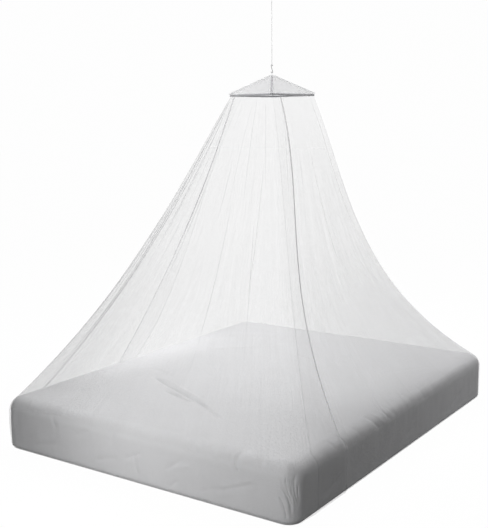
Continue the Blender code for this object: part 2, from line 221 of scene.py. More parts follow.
# How dense the net looks: bed station, at the frame, half way down, at the mattress. It is the
# share of the light that one layer stops. Its rise towards the mattress is partly painted shade:
# the lower net, lit less than the top, is made denser so that it looks darker.
NET_DENSITY_AND_SHADE = (
    (0.0, 0.090, 0.120, 0.280),
    (0.3, 0.078, 0.090, 0.160),
    (0.6, 0.075, 0.080, 0.130),
    (1.0, 0.080, 0.100, 0.165),
    (1.3, 0.080, 0.130, 0.285),
    (1.7, 0.080, 0.145, 0.350),
    (2.1, 0.080, 0.145, 0.350),
    (2.5, 0.075, 0.110, 0.240),
    (3.0, 0.075, 0.085, 0.155),
    (3.5, 0.078, 0.090, 0.175),
    (3.8, 0.090, 0.120, 0.280),
    (4.0, 0.090, 0.120, 0.280),
)
# A tuck of this size, doubled back, adds this share to the density
TUCK_SIZE = 0.004
TUCK_DENSITY = 0.9
LAP_DENSITY = 0.62
LAP_FADE = 0.02
SIDE_DENSITY = 0.6
NET_ROWS = 78
NET_COLUMNS = 860
WRAP_ROWS = 7
SIDE_ROWS = 8
BASE_ROWS = 5
TURNED_ROWS = 4


# Small helpers --------------------------------------------


def deselect():
    bpy.ops.object.select_all(action="DESELECT")


def unit(vectors):
    """Scales a vector, or each vector of an array, to a length of one."""
    return vectors / np.linalg.norm(vectors, axis=-1, keepdims=True)


def smooth(share):
    """Eases a share in and out between 0 and 1."""
    share = np.clip(share, 0, 1)
    return share * share * (3 - 2 * share)


def between(place, first, last, ease_in, ease_out):
    """1 between two places, easing in after the first and out before the last."""
    return smooth((place - first) / ease_in) * smooth((last - place) / ease_out)


def look_up(table, place, column=1):
    """Reads a column of a table at places on the scale of its first column."""
    return np.interp(place, [row[0] for row in table], [row[column] for row in table])


def run_along(points):
    """How far along a path each of its points is."""
    return np.concatenate([[0], np.cumsum(np.linalg.norm(np.diff(points, axis=0), axis=1))])


def steps_to_one(count):
    return np.arange(1, count + 1) / count


def above(height):
    """The point at this height on the line that everything hangs from."""
    return np.array((0, HANG_Y, height))


def uv_grid(across, down):
    return np.stack(np.meshgrid(across, down), -1)


def finish_piece(piece, material, slot, solid):
    """Gives a piece its finish and its place in the part, and hides the solid that it stands for.
    """
    piece.data.materials.clear()
    piece.data.materials.append(material)
    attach(piece, "root")
    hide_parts(solid)
    return piece


def grid_mesh(name, points, uv, closed_columns=False):
    """A mesh on a grid of points, shaped (rows, columns, 3), with a UV for each."""
    rows, columns = points.shape[:2]
    index = np.arange(rows * columns).reshape(rows, columns)
    if closed_columns:
        index = np.concatenate([index, index[:, :1]], axis=1)
    quads = np.stack([index[:-1, :-1], index[:-1, 1:], index[1:, 1:], index[1:, :-1]], axis=-1)
    corners = quads.reshape(-1)
    mesh = bpy.data.meshes.new(name)
    mesh.from_pydata(points.reshape(-1, 3), [], corners.reshape(-1, 4))
    mesh.validate()
    layer = mesh.uv_layers.new(name="cloth")
    layer.data.foreach_set("uv", uv.reshape(-1, 2)[corners].reshape(-1).astype(np.float32))
    mesh.shade_smooth()
    return link_mesh(name, mesh)


def link_mesh(name, mesh):
    piece = bpy.data.objects.new(name, mesh)
    bpy.context.scene.collection.objects.link(piece)
    return piece


def set_density_and_shade(piece, density_and_shade):
    """Stores how much of the light the cloth stops at each point; on the net walls this carries
    painted shade too.
    """
    layer = piece.data.attributes.new("density_and_shade", "FLOAT", "POINT")
    layer.data.foreach_set("value", density_and_shade.reshape(-1).astype(np.float32))


def thicken(piece, thickness, even=False):
    """Gives a cloth its thickness, half of it to each side."""
    deselect()
    piece.select_set(True)
    bpy.context.view_layer.objects.active = piece
    modifier = piece.modifiers.new("thickness", "SOLIDIFY")
    modifier.thickness, modifier.offset, modifier.use_even_offset = thickness, 0, even
    bpy.ops.object.modifier_apply(modifier=modifier.name)


# Materials ------------------------------------------------


class Finish:
    """A material, or a world, whose nodes are added one by one and wired as they come."""

    def __init__(self, name, owner=None):
        self.owner = owner or bpy.data.materials.new(name)
        self.owner.use_nodes = True
        self.nodes = self.owner.node_tree.nodes
        self.links = self.owner.node_tree.links
        self.nodes.clear()

    def add(self, kind, inputs=None, **settings):
        node = self.nodes.new(kind)
        for key, value in settings.items():
            setattr(node, key, value)
        for key, value in (inputs or {}).items():
            if isinstance(value, bpy.types.NodeSocket):
                self.links.new(value, node.inputs[key])
            else:
                node.inputs[key].default_value = value
        return node

    def coordinates(self, source, scale=(1, 1, 1)):
        spot = self.add("ShaderNodeTexCoord").outputs[source]
        return self.add("ShaderNodeMapping", {"Vector": spot, "Scale": scale}).outputs[0]

    def math(self, operation, a, b=0.0, clamp=False):
        node = self.add("ShaderNodeMath", {0: a, 1: b}, operation=operation, use_clamp=clamp)
        return node.outputs[0]

    def noise(self, vector, scale, detail=2.0, roughness=0.5):
        inputs = {"Vector": vector, "Scale": scale, "Detail": detail, "Roughness": roughness}
        return self.add("ShaderNodeTexNoise", inputs).outputs["Fac"]

    def bands(self, vector, spacing, direction):
        """Even ribs across one direction, this far apart."""
        inputs = {"Vector": vector, "Scale": BAND_SCALE / spacing}
        node = self.add("ShaderNodeTexWave", inputs, wave_type="BANDS", bands_direction=direction)
        return node.outputs["Fac"]

    def remap(self, value, low, high, to_low, to_high):
        reach = {"From Min": low, "From Max": high, "To Min": to_low, "To Max": to_high}
        return self.add("ShaderNodeMapRange", {"Value": value, **reach}).outputs[0]

    def uneven(self, vector, scale, reach, detail=2.0):
        """A noise spread over this reach below and above zero."""
        return self.remap(self.noise(vector, scale, detail), 0.3, 0.7, -reach, reach)

    def density_and_shade(self):
        return self.add("ShaderNodeAttribute", attribute_name="density_and_shade").outputs["Fac"]

    def tint(self, value, dark, light):
        """A colour between two, by a value from 0 to 1."""
        node = self.add("ShaderNodeMix", {"Factor": value}, data_type="RGBA")
        node.inputs[6].default_value = (*dark, 1)
        node.inputs[7].default_value = (*light, 1)
        return node.outputs[2]

    def bump(self, height, distance, strength=1.0, normal=None):
        inputs = {"Height": height, "Distance": distance, "Strength": strength}
        if normal is not None:
            inputs["Normal"] = normal
        return self.add("ShaderNodeBump", inputs).outputs[0]

    def mix(self, share, first, second):
        inputs = {0: share, 1: first.outputs[0], 2: second.outputs[0]}
        return self.add("ShaderNodeMixShader", inputs)

    def thin_cloth(self, passed, color, roughness, **surface):
        """Cloth that passes this share of its light on and reflects the rest."""
        surface["Color"] = color
        front = self.add("ShaderNodeBsdfDiffuse", {"Roughness": roughness, **surface})
        behind = self.add("ShaderNodeBsdfTranslucent", surface)
        return self.mix(passed, front, behind)

    def thinned(self, density, shader):
        """A shader that can be seen through, but for this share."""
        return self.mix(density, self.add("ShaderNodeBsdfTransparent"), shader)

    def solid(self, color, roughness, **surface):
        inputs = {"Base Color": color, "Roughness": roughness, **surface}
        return self.output(self.add("ShaderNodeBsdfPrincipled", inputs))

    def output(self, shader, kind="ShaderNodeOutputMaterial"):
        self.add(kind, {"Surface": shader.outputs[0]})
        return self.owner


THREAD_COLOR = (0.80, 0.80, 0.81)
THREAD_SHADE = tuple(0.97 * part for part in THREAD_COLOR)
HOLES_PER_METRE = 560.0
# The net's streaks fade low down: metres down the cloth, then how strong they are
STREAK_FADE = (1.0, 1.75, 1.0, 0.35)
# A wave texture of this scale has bands one metre apart
BAND_SCALE = 0.314


def make_net_finish():
    """Sheer knitted net: threads that reflect and pass light, thinned by the holes between them."""
    finish = Finish("sheer_net")
    uv = finish.coordinates("UV")
    broad = finish.uneven(finish.coordinates("UV", (22, 0.8, 1)), 1.0, 0.10)
    narrow = finish.uneven(finish.coordinates("UV", (125, 4.5, 1)), 1.0, 0.17)
    down = finish.add("ShaderNodeSeparateXYZ", {"Vector": uv}).outputs["Y"]
    faded = finish.remap(down, *STREAK_FADE)
    streaks = finish.math("MULTIPLY", finish.math("ADD", broad, narrow), faded)
    speckle = finish.uneven(uv, 150, 0.20, 1.0)
    unevenness = finish.math("ADD", finish.math("ADD", streaks, speckle), 1.0)
    # the stored density carries painted shade: the lower net is made denser, so darker, where it is
    # lit less
    density = finish.math("MULTIPLY", finish.density_and_shade(), unevenness)
    inputs = {"Vector": uv, "Scale": HOLES_PER_METRE, "Randomness": 0.35}
    cells = finish.add("ShaderNodeTexVoronoi", inputs, feature="DISTANCE_TO_EDGE")
    holes = finish.remap(cells.outputs["Distance"], 0.08, 0.30, 1.7, 0.45)
    density = finish.math("MULTIPLY", density, holes, clamp=True)
    color = finish.tint(finish.noise(uv, 40, 1.0), THREAD_SHADE, THREAD_COLOR)
    return finish.output(finish.thinned(density, finish.thin_cloth(0.5, color, 0.6)))


def make_roof_finish():
    """Thin dense cloth: it hides what is behind it but lets some light through."""
    finish = Finish("roof_cloth")
    place = finish.coordinates("Object")
    weave = finish.math("ADD", finish.bands(place, 0.0012, "X"), finish.bands(place, 0.0012, "Z"))
    crumple = finish.noise(place, 22, 3.0)
    normal = finish.bump(weave, 0.00015, 0.4)
    normal = finish.bump(crumple, 0.003, 0.5, normal)
    color = finish.tint(crumple, (0.84, 0.84, 0.85), (0.90, 0.90, 0.91))
    return finish.output(finish.thinned(0.22, finish.thin_cloth(0.35, color, 0.5, Normal=normal)))


# Woven tapes: name, dark tone, light tone, share of light passed on, whether it is sheer
TAPES = (
    ("frame_webbing", 0.86, 0.94, 0.50, False),
    ("loop_webbing", 0.92, 0.96, 0.55, False),
    ("net_binding", 0.84, 0.92, 0.50, True),
)


def make_tape_finish(name, dark, light, passed, sheer):
    """Woven binding with ribs across it. Some light comes through it."""
    finish = Finish(name)
    uv = finish.coordinates("UV")
    ribs = finish.bands(uv, 0.0008, "Y")
    fuzz = finish.noise(uv, 900, 2.0)
    height = finish.math("ADD", ribs, finish.math("MULTIPLY", fuzz, 0.5))
    normal = finish.bump(height, 0.0002, 0.6)
    tones = (dark, dark, dark + 0.01), (light, light, light + 0.01)
    color = finish.tint(finish.noise(uv, 60, 3.0), *tones)
    shader = finish.thin_cloth(passed, color, 0.8, Normal=normal)
    return finish.output(finish.thinned(finish.density_and_shade(), shader) if sheer else shader)


def make_cotton_finish():
    """Plain cotton of a fitted sheet: a fine weave, soft crumples and a faintly uneven tone."""
    finish = Finish("fitted_cotton")
    place = finish.coordinates("Object")
    weave = finish.bands(place, 0.0009, "X")
    for direction in "YZ":
        weave = finish.math("ADD", weave, finish.bands(place, 0.0009, direction))
    soft = finish.noise(place, 7, 3.0, 0.55)
    crumple = finish.noise(finish.coordinates("Object", (1, 1, 0.5)), 34, 4.0, 0.6)
    normal = finish.bump(weave, 0.00012, 0.35)
    normal = finish.bump(crumple, 0.0035, 0.35, normal)
    normal = finish.bump(soft, 0.010, 0.30, normal)
    color = finish.tint(soft, (0.76, 0.76, 0.77), (0.82, 0.82, 0.83))
    return finish.solid(color, 0.9, **{"Normal": normal, "Sheen Weight": 0.15})


def make_cord_finish():
    finish = Finish("braided_cord")
    fibres = finish.noise(finish.coordinates("Object", (1, 1, 0.3)), 2500, 2.0)
    tone = finish.noise(finish.coordinates("Object"), 300, 2.0)
    color = finish.tint(tone, (0.90, 0.90, 0.90), (0.96, 0.96, 0.96))
    normal = finish.bump(fibres, 0.0002, 0.7)
    return finish.output(finish.thin_cloth(0.5, color, 0.6, Normal=normal))


def make_steel_finish():
    finish = Finish("hook_steel")
    drawn = finish.noise(finish.coordinates("Object", (1, 1, 0.1)), 1500, 2.0)
    tone = finish.noise(finish.coordinates("Object"), 120, 3.0)
    color = finish.tint(tone, (0.10, 0.10, 0.11), (0.17, 0.17, 0.18))
    return finish.solid(color, finish.remap(drawn, 0.3, 0.7, 0.28, 0.48), Metallic=1.0)


def make_rod_finish():
    finish = Finish("frame_rod")
    grain = finish.noise(finish.coordinates("Object"), 700, 3.0)
    color = finish.tint(grain, (0.24, 0.25, 0.26), (0.32, 0.33, 0.34))
    return finish.solid(color, 0.55, Normal=finish.bump(grain, 0.0002, 0.5))


# Outlines in plan -----------------------------------------


def outline(station, half, radius):
    """Points and outward normals on a rounded rectangle in plan, at an array of stations."""
    station = np.asarray(station, float) % 4
    side = np.minimum(station.astype(int), 3)
    start, end = CORNERS[side] * half, CORNERS[(side + 1) % 4] * half
    length = np.linalg.norm(end - start, axis=-1)
    along = (end - start) / length[..., None]
    out = np.stack([along[..., 1], -along[..., 0]], axis=-1)
    distance = (station - side) * length
    before = np.minimum(distance / radius - 1, 0)
    after = np.maximum(1 - (length - distance) / radius, 0)
    angle = (before + after) * math.pi / 4
    normal = out * np.cos(angle)[..., None] + along * np.sin(angle)[..., None]
    centre = start + along * np.clip(distance, radius, length - radius)[..., None] - out * radius
    return centre + normal * radius, normal


def frame_outline(station, offset):
    """Points this far outside the frame's centre line, in plan."""
    point, _ = outline(station, FRAME_SIDE / 2 + offset, FRAME_CORNER + offset)
    return point @ np.array(Matrix.Rotation(FRAME_TURN, 2)).T + (0, HANG_Y)


def bed_outline(station):
    return outline(station, BED_HALF, CORNER_RADIUS)


# The net --------------------------------------------------


def hanging_value(station, column):
    """A column of the hanging lines' table, eased over a short way to each side."""
    places = [line[0] for line in HANGING_LINES]
    values = [line[column] - (line[0] if column == 1 else 0) for line in HANGING_LINES]
    shifts = (-0.02, -0.01, 0, 0.01, 0.02)
    eased = np.mean([np.interp((station + shift) % 4, places, values) for shift in shifts], axis=0)
    return eased + (station if column == 1 else 0)


def edge_point(station, turn, lift, radius=TOP_RADIUS, middle=MATTRESS_HEIGHT - TOP_RADIUS):
    """Points round an edge of the mattress: a turn of 0 is its highest, a right angle its side."""
    edge, out = bed_outline(station)
    reach = radius + CLEARANCE + lift + 0 * station
    flat = edge + out * (reach * math.sin(turn) - radius)[..., None]
    return np.concatenate([flat, (middle + reach * math.cos(turn))[..., None]], axis=-1)


def net_point(station, drop):
    """Points of the bare net, from 0 at the frame to 1 where it touches the bed."""
    top = frame_outline(hanging_value(station, 1), TOP_INSET)
    slope_top, slope_low = hanging_value(station, 2), hanging_value(station, 3)
    touch = edge_point(station, TOUCH_ANGLE, 0)
    run = (drop**3 - 2 * drop**2 + drop) * slope_top + (drop**3 - drop**2) * slope_low
    run = run + 3 * drop**2 - 2 * drop**3
    flat = top + (touch[..., :2] - top) * run[..., None]
    height = WALL_TOP + (touch[..., 2] - WALL_TOP) * drop
    return np.concatenate([flat, height[..., None]], axis=-1)


def net_along(station, drop):
    """The direction along the bare net, level with the bed's edge."""
    return unit(net_point(station + NEAR, drop) - net_point(station - NEAR, drop))


def net_normal(station, drop):
    """The direction out of the bare net."""
    low, high = np.maximum(drop - NEAR, 0), np.minimum(drop + NEAR, 1)
    down = net_point(station, high) - net_point(station, low)
    return unit(np.cross(down, net_along(station, drop)))


def station_gap(station, centre):
    return (station - centre + 2) % 4 - 2


def crest(station, centre, half_width):
    """The section of a fold: 1 on its crest and 0 at its half width."""
    away = np.abs(station_gap(station, centre)) / half_width
    return np.cos(math.pi / 2 * np.minimum(away, 1)) ** 2


def fold_lift(station, drop):
    """How far the main folds stand out of the net."""
    total = np.zeros_like(drop)
    for centre, half_width, top, middle, low in FOLDS:
        heights = (top * TOP_RIPPLE, top, middle, low, low * SIDE_RIPPLE)
        total += np.interp(drop, FOLD_DROPS, heights) * crest(station, centre, half_width)
    return total


def make_pleats(panel):
    """A table of finer folds on a panel: centre, half width, height, first and last drop, lean."""
    random = np.random.default_rng(PLEAT_SEED + round(panel[0]))
    pleats = []
    place = panel[0] + PLEAT_SPACING[1]
    while place < panel[1] - PLAIN_REACH - PLEAT_SPACING[0]:
        half_width = random.uniform(*PLEAT_HALF_WIDTH)
        height = random.uniform(*PLEAT_HEIGHT)
        first = random.choice((-0.2, -0.1, 0.15, 0.35))
        last = random.choice((0.40, 0.60, 0.85, 1.30))
        if CALM_SIDE[0] < place % 4 < CALM_SIDE[1]:
            height *= CALM_SIDE[2]
        pleats.append((place, half_width, height, first, last, random.uniform(-1.2, 1.2)))
        place += random.uniform(*PLEAT_SPACING)
    return pleats


def pleat_shift(station, drop, pleats):
    """The lift and the sideways lean that the finer folds and the tucks add."""
    lift, lean = np.zeros_like(drop), np.zeros_like(drop)
    for centre, half_width, height, first, last, tilt in pleats:
        fade = between(drop, first, last, 0.2, 0.2) * (0.25 + 0.75 * drop)
        rise = height * crest(station, centre, half_width) * fade
        lift += rise
        lean += rise * tilt
    for centre, half_width, back, first, last in TUCKS:
        across = np.clip(station_gap(station, centre) / half_width, -1, 1)
        fade = between(drop, first, last, 0.15, 0.25) * (0.35 + 0.65 * drop)
        swing = np.sin(math.pi * across)
        lean -= back * swing * fade
        lift += 0.6 * back * (np.cos(math.pi / 2 * across) ** 2 + 0.3 * swing) * fade
    return lift, lean


def other_panel(panel):
    """Where the other panel starts, near the end of this one, and ends, near its start."""
    start, end = HEAD_PANEL if panel is FOOT_PANEL else FOOT_PANEL
    return start + 4 * (start < panel[0]), end - 4 * (end > panel[1])


def lap_offset(station, panel, drop):
    """The bound edge of each panel, its last one, lies outside the other panel's plain edge."""
    share = smooth((station - other_panel(panel)[0] + LAP_EASE) / LAP_EASE)
    return share * np.interp(drop, (0, LAP_DROP), (LAP_GAP_TOP, LAP_GAP))


def panel_surface(panel, station, inset, pleats):
    """A panel's points, shaped (rows, columns, 3), from the band over the edge to the hem."""
    across, down = np.meshgrid(station, np.linspace(0, 1, NET_ROWS))
    lift = fold_lift(across, down) + lap_offset(across, panel, down) - inset
    # the finer folds start just under the band
    start = smooth(down / FOLDS_START)
    extra, lean = (shift * start for shift in pleat_shift(across, down, pleats))
    hang = net_point(across, down) + net_normal(across, down) * (lift + extra)[..., None]
    hang += net_along(across, down) * lean[..., None]
    hang[0, :, 2] = WALL_TOP
    ends = np.ones_like(station)
    extra, lean = pleat_shift(station, ends, pleats)
    ripple = np.maximum(fold_lift(station, ends) + extra, 0)
    flat_lift = lap_offset(station, panel, ends) - inset
    rows = list(hang)
    along = net_along(station, ends)
    for share in steps_to_one(WRAP_ROWS):
        turn = TOUCH_ANGLE + (math.pi / 2 - TOUCH_ANGLE) * share
        lift = flat_lift + ripple + WRAP_SLACK * min(1, 2 * share)
        rows.append(edge_point(station, turn, lift) + along * (lean * (1 - share))[:, None])
    top = rows[-1]
    base = edge_point(station, math.pi / 2, flat_lift, BASE_RADIUS, BASE_RADIUS)
    outward = bed_outline(station)[1]
    for share in steps_to_one(SIDE_ROWS):
        row = top + (base - top) * share
        row[:, :2] += outward * (ripple * math.sin(math.pi * share))[:, None]
        rows.append(row)
    for share in steps_to_one(BASE_ROWS):
        turn = math.pi / 2 + HEM_ANGLE * share
        rows.append(edge_point(station, turn, flat_lift, BASE_RADIUS, BASE_RADIUS))
    return np.stack(rows)


def panel_density_and_shade(panel, station, row_count):
    """How much of the light one layer stops, for each point of a panel, with painted shade in its
    rise down the panel.
    """
    drops = np.concatenate([np.linspace(0, 1, NET_ROWS), np.ones(row_count - NET_ROWS)])
    below = smooth((np.arange(row_count) - NET_ROWS) / 6)
    top, middle, low = (look_up(NET_DENSITY_AND_SHADE, station % 4, column) for column in (1, 2, 3))
    upper = np.clip(drops * 2, 0, 1)[:, None]
    lower = np.clip(drops * 2 - 1, 0, 1)[:, None]
    density_and_shade = top * (1 - upper) + middle * (upper - lower) + low * lower
    # cloth is gathered tightly along a tuck
    for centre, half_width, double, first, last in TUCKS:
        near = np.exp(-((station_gap(station, centre) / (half_width * 0.6)) ** 2))
        length = between(drops, first, last, 0.15, 0.15)
        density_and_shade = density_and_shade * (1 + TUCK_DENSITY * double / TUCK_SIZE * near * length[:, None])
    # where the panels lap, each counts for less
    start, end = other_panel(panel)
    lapped = smooth((station - start) / LAP_FADE + 0.5) + smooth((end - station) / LAP_FADE + 0.5)
    density_and_shade = density_and_shade * (1 - (1 - LAP_DENSITY) * np.clip(lapped, 0, 1))
    return density_and_shade * (1 - (1 - SIDE_DENSITY) * below)[:, None]


def panel_stations(panel):
    """The columns of a panel: close together at the folds, wider between them."""
    fine = np.linspace(*panel, 6000)
    crowd = np.ones_like(fine)
    for centre, half_width, *_ in FOLDS:
        crowd += 1.2 * (np.abs(station_gap(fine, centre)) < half_width)
    for centre, half_width, *_ in TUCKS:
        crowd += 5.0 * (np.abs(station_gap(fine, centre)) < half_width)
    for corner in range(8):
        crowd += 3.0 * (np.abs(fine - corner) < 0.03)
    total = np.cumsum(crowd)
    total = (total - total[0]) / (total[-1] - total[0])
    return np.interp(np.linspace(0, 1, NET_COLUMNS), total, fine)


def cloth_uv(points, station):
    """Metres along the bed and metres down the cloth, for each point of a panel."""
    step = np.linalg.norm(np.diff(points, axis=0), axis=-1).mean(axis=1)
    down = np.concatenate([[0], np.cumsum(step)])
    return uv_grid(run_along(bed_outline(station)[0]), down)


def area_of(points):
    """The area of a grid of points."""
    a, b = points[1:, :-1] - points[:-1, :-1], points[:-1, 1:] - points[:-1, :-1]
    return float(np.linalg.norm(np.cross(a, b), axis=-1).sum())


# The plain edge, turned in as a hem: the share of the hem's width, how far inside the net
TURNED_EDGE = (
    (0.08, 0.0011),
    (0.50, 0.0011),
    (0.94, 0.0011),
    (1.00, 0.0009),
    (0.94, 0.0006),
    (0.50, 0.0006),
    (0.06, 0.0005),
)
# How dense each layer of that hem looks beside the net: row of the panel, share
HEM_DENSITIES = ((0, 0.9), (60, 0.5), (NET_ROWS, 0.22))
# The turned-up foot lies this far inside the net
TURNED_GAP = 0.0008


def make_wall(name, panel, material):
    """A wall panel, its plain edge turned in as a narrow hem and its foot turned up."""
    station = panel_stations(panel)
    turned, turned_inset = np.transpose(TURNED_EDGE)
    columns = np.concatenate([panel[0] + turned * HEM_WIDTH / MATTRESS_LENGTH, station])
    inset = np.concatenate([turned_inset, np.zeros(len(station))])
    points = panel_surface(panel, columns, inset, make_pleats(panel))
    up = slice(-2, -2 - TURNED_ROWS, -1)
    back = points[up].copy()
    back[..., :2] -= bed_outline(columns)[1] * TURNED_GAP
    uv = cloth_uv(points, columns)
    density_and_shade = panel_density_and_shade(panel, columns, len(points))
    density_and_shade[:, : len(turned)] *= look_up(HEM_DENSITIES, np.arange(len(points)))[:, None]
    height = float(uv[-1, 0, 1])
    points, uv = np.concatenate([points, back]), np.concatenate([uv, uv[up]])
    wall = grid_mesh(name, points, uv)
    set_density_and_shade(wall, np.concatenate([density_and_shade, density_and_shade[-TURNED_ROWS:]]))
    finish_piece(wall, material, "white_net", name.replace("net_", "wall_"))
    width = np.linalg.norm(np.diff(bed_outline(station)[0], axis=0), axis=-1).sum()
    return wall, float(width), height, area_of(points)


# Camera, light and floor ----------------------------------

CAMERA_PLACE = (2.4516, -3.7251, 1.5236)
CAMERA_YAW = math.radians(34.4984)
CAMERA_PITCH = math.radians(-9.0338)
CAMERA_ROLL = math.radians(-0.4767)
FOCAL_PIXELS = 899.64
VIEW_HEIGHT_PIXELS = 528
SENSOR = 36.0
WHITE = (1, 1, 1, 1)
FLOOR_SIZE = 80
FLOOR_GAP = 0.0006
FLOOR_COLOR = (0.012, 0.012, 0.012, 1)
FLOOR_GLOW = 0.9875
BACKDROP = 0.988
# The net's layers that one line of sight may pass
CLEAR_BOUNCES = 64


def make_camera():
    turns = ((CAMERA_YAW, "Z"), (math.pi / 2 + CAMERA_PITCH, "X"), (CAMERA_ROLL, "Z"))
    yaw, pitch, roll = (Matrix.Rotation(angle, 3, axis) for angle, axis in turns)
    bpy.ops.object.camera_add(location=CAMERA_PLACE, rotation=(yaw @ pitch @ roll).to_euler())
    camera = bpy.context.object
    camera.data.sensor_width = SENSOR
    camera.data.lens = FOCAL_PIXELS / VIEW_HEIGHT_PIXELS * SENSOR
    bpy.context.scene.camera = camera


def make_floor():
    bpy.ops.mesh.primitive_plane_add(size=FLOOR_SIZE, location=(0, 0, -FLOOR_GAP))
    floor = bpy.context.object
    floor.name = "floor"
    finish = Finish("pale_floor")
    matt = finish.add("ShaderNodeBsdfDiffuse", {"Color": FLOOR_COLOR})
    glow = finish.add("ShaderNodeEmission", {"Color": WHITE, "Strength": FLOOR_GLOW})
    both = finish.add("ShaderNodeAddShader", {0: matt.outputs[0], 1: glow.outputs[0]})
    floor.data.materials.append(finish.output(both))
    floor.visible_diffuse = False


# name, place, what it faces, width, height, power, how wide it spreads in degrees
LAMPS = (
    ("key", (-1.0, 1.7, 3.7), (0.0, 0.0, 0.3), 2.0, 2.0, 124, 180),
    ("middle", (-0.5, -0.5, 2.7), (-0.3, -0.3, 0.3), 1.2, 1.2, 10, 180),
    ("head", (0.5, 1.6, 3.0), (0.3, 0.4, 0.3), 1.4, 1.4, 15, 180),
    ("left", (-0.94, 0.0, 2.1), (-0.77, 0.0, 0.25), 0.9, 0.15, 0.36, 20),
    ("front", (-0.06, -1.66, 0.34), (-0.06, -1.0, 0.08), 0.6, 0.2, 1.45, 150),
    ("corner", (0.72, -2.4, 0.7), (0.6, -0.9, 0.15), 0.6, 0.5, 8.4, 180),
    ("roof", (0.9, -2.9, 2.6), (0.0, 0.1, 1.8), 0.8, 0.8, 10, 180),
    ("back", (2.6, 2.3, 1.5), (0.8, 0.3, 0.2), 1.0, 1.0, 22, 180),
)
SKY_LIGHT = 0.045


def make_lamps():
    for name, place, target, width, height, power, spread in LAMPS:
        bpy.ops.object.light_add(type="AREA", location=place)
        lamp = bpy.context.object
        lamp.name = name
        lamp.rotation_euler = (Vector(target) - Vector(place)).to_track_quat("-Z", "Y").to_euler()
        lamp.data.shape = "RECTANGLE"
        lamp.data.size, lamp.data.size_y = width, height
        lamp.data.energy = power
        lamp.data.spread = math.radians(spread)
        lamp.visible_camera = False


def make_studio():
    """A backdrop that the camera sees as white, and that lights the scene far less."""
    studio = Finish("studio", bpy.data.worlds.new("studio"))
    seen = studio.add("ShaderNodeBackground", {"Color": WHITE, "Strength": BACKDROP})
    lighting = studio.add("ShaderNodeBackground", {"Color": WHITE, "Strength": SKY_LIGHT})
    to_camera = studio.add("ShaderNodeLightPath").outputs["Is Camera Ray"]
    scene = bpy.context.scene
    scene.world = studio.output(studio.mix(to_camera, lighting, seen), "ShaderNodeOutputWorld")
    scene.view_settings.view_transform = "Standard"
    scene.cycles.transparent_max_bounces = CLEAR_BOUNCES


# Roof, frame and what hangs it ----------------------------


def roof_axes(side):
    """The outward and along directions of one side of the frame, in plan."""
    turn = Matrix.Rotation(FRAME_TURN + side * math.pi / 2, 3, "Z")
    return np.array(turn @ Vector((0, -1, 0))), np.array(turn @ Vector((1, 0, 0)))


def roof_sizes():
    half = FRAME_SIDE / 2 + BAND_OFFSET
    base = BAND_TOP + GAP + ROOF_THICKNESS / 2
    return half, base, APEX_HEIGHT - base


def make_roof_panel(side, material, rows=36, columns=49):
    """A triangle of cloth that sags between its ridges, with faint pulls from the apex."""
    out, along = roof_axes(side)
    half, base, rise = roof_sizes()
    normal = unit(out * rise + (0, 0, half))
    highest = 1 - (ROOF_TIP + RIDGE_GAP) / half
    v, u = np.meshgrid(np.linspace(0, highest, rows), np.linspace(-1, 1, columns), indexing="ij")
    slack = (1 - u * u) * np.sin(math.pi * v / highest)
    sag = ROOF_SAG * (1 - u * u) * slack
    pulls = ROOF_PULL * np.sin(9 * u + 2 * side) * slack
    points = out * (half * (1 - v))[..., None] + np.array((0, 0, rise)) * v[..., None]
    points += along * ((half * (1 - v) - RIDGE_GAP) * u)[..., None] + above(base)
    points -= normal * (sag + pulls)[..., None]
    uv = np.stack([u * half * (1 - v), v * math.hypot(half, rise)], -1)
    panel = grid_mesh(f"roof_panel_{side + 1}_cloth", points, uv)
    thicken(panel, ROOF_THICKNESS * CLOTH_SHARE)
    return finish_piece(panel, material, "roof_cloth", f"roof_panel_{side + 1}")


def make_ridge_tape(corner, material, rows=60):
    """A binding folded over the ridge that rises from one corner of the frame."""
    out_a, out_b = roof_axes(corner - 1)[0], roof_axes(corner)[0]
    half, base, rise = roof_sizes()
    normal_a, normal_b = unit(out_a * rise + (0, 0, half)), unit(out_b * rise + (0, 0, half))
    ridge = unit((out_a + out_b) * half - (0, 0, rise))
    side_a, side_b = unit(np.cross(ridge, normal_a)), unit(np.cross(normal_b, ridge))
    lift = ROOF_THICKNESS / 2 + GAP + TAPE_THICKNESS / 2
    crest_out = lift * (normal_a + normal_b) / (1 + normal_a @ normal_b)
    section = [-side_a / 2, -side_a / 4, 0 * side_a, -side_b / 4, -side_b / 2]
    distances = np.linspace(TAPE_START, half * math.sqrt(2), rows) / np.linalg.norm(ridge[:2])
    points = ridge * distances[:, None, None] + np.array(section) * TAPE_WIDTH
    points += crest_out + above(base + rise)
    uv = uv_grid(np.linspace(0, TAPE_WIDTH, len(section)), distances)
    tape = grid_mesh(f"ridge_binding_{corner + 1}", points, uv)
    thicken(tape, TAPE_THICKNESS * CLOTH_SHARE, even=True)
    return finish_piece(tape, material, "grey_tape", f"ridge_tape_{corner + 1}")


# Unevenness of the band's lower edge: height, turns, start
BAND_WAVES = ((0.0004, 23, 0), (0.0003, 57, 1))


def make_band(material, columns=480):
    """The tape sewn round the spreader frame, a little uneven along its lower edge."""
    station = np.linspace(0, 4, columns, endpoint=False)
    for corner in range(1, 4):
        station[np.argmin(np.abs(station - corner))] = corner
    flat = frame_outline(station, BAND_OFFSET)
    shares = np.linspace(0, 1, 6)
    wave = sum(height * np.sin(station * turns + start) for height, turns, start in BAND_WAVES)
    heights = BAND_TOP + (wave - BAND_HEIGHT) * shares[:, None]
    points = np.concatenate([np.broadcast_to(flat, (6, *flat.shape)), heights[..., None]], axis=-1)
    uv = uv_grid(station * FRAME_SIDE, shares * BAND_HEIGHT)[..., ::-1]
    band = grid_mesh("frame_tape", points, uv, closed_columns=True)
    thicken(band, BAND_THICKNESS * BAND_SHARE)
    return finish_piece(band, material, "grey_tape", "frame_band")


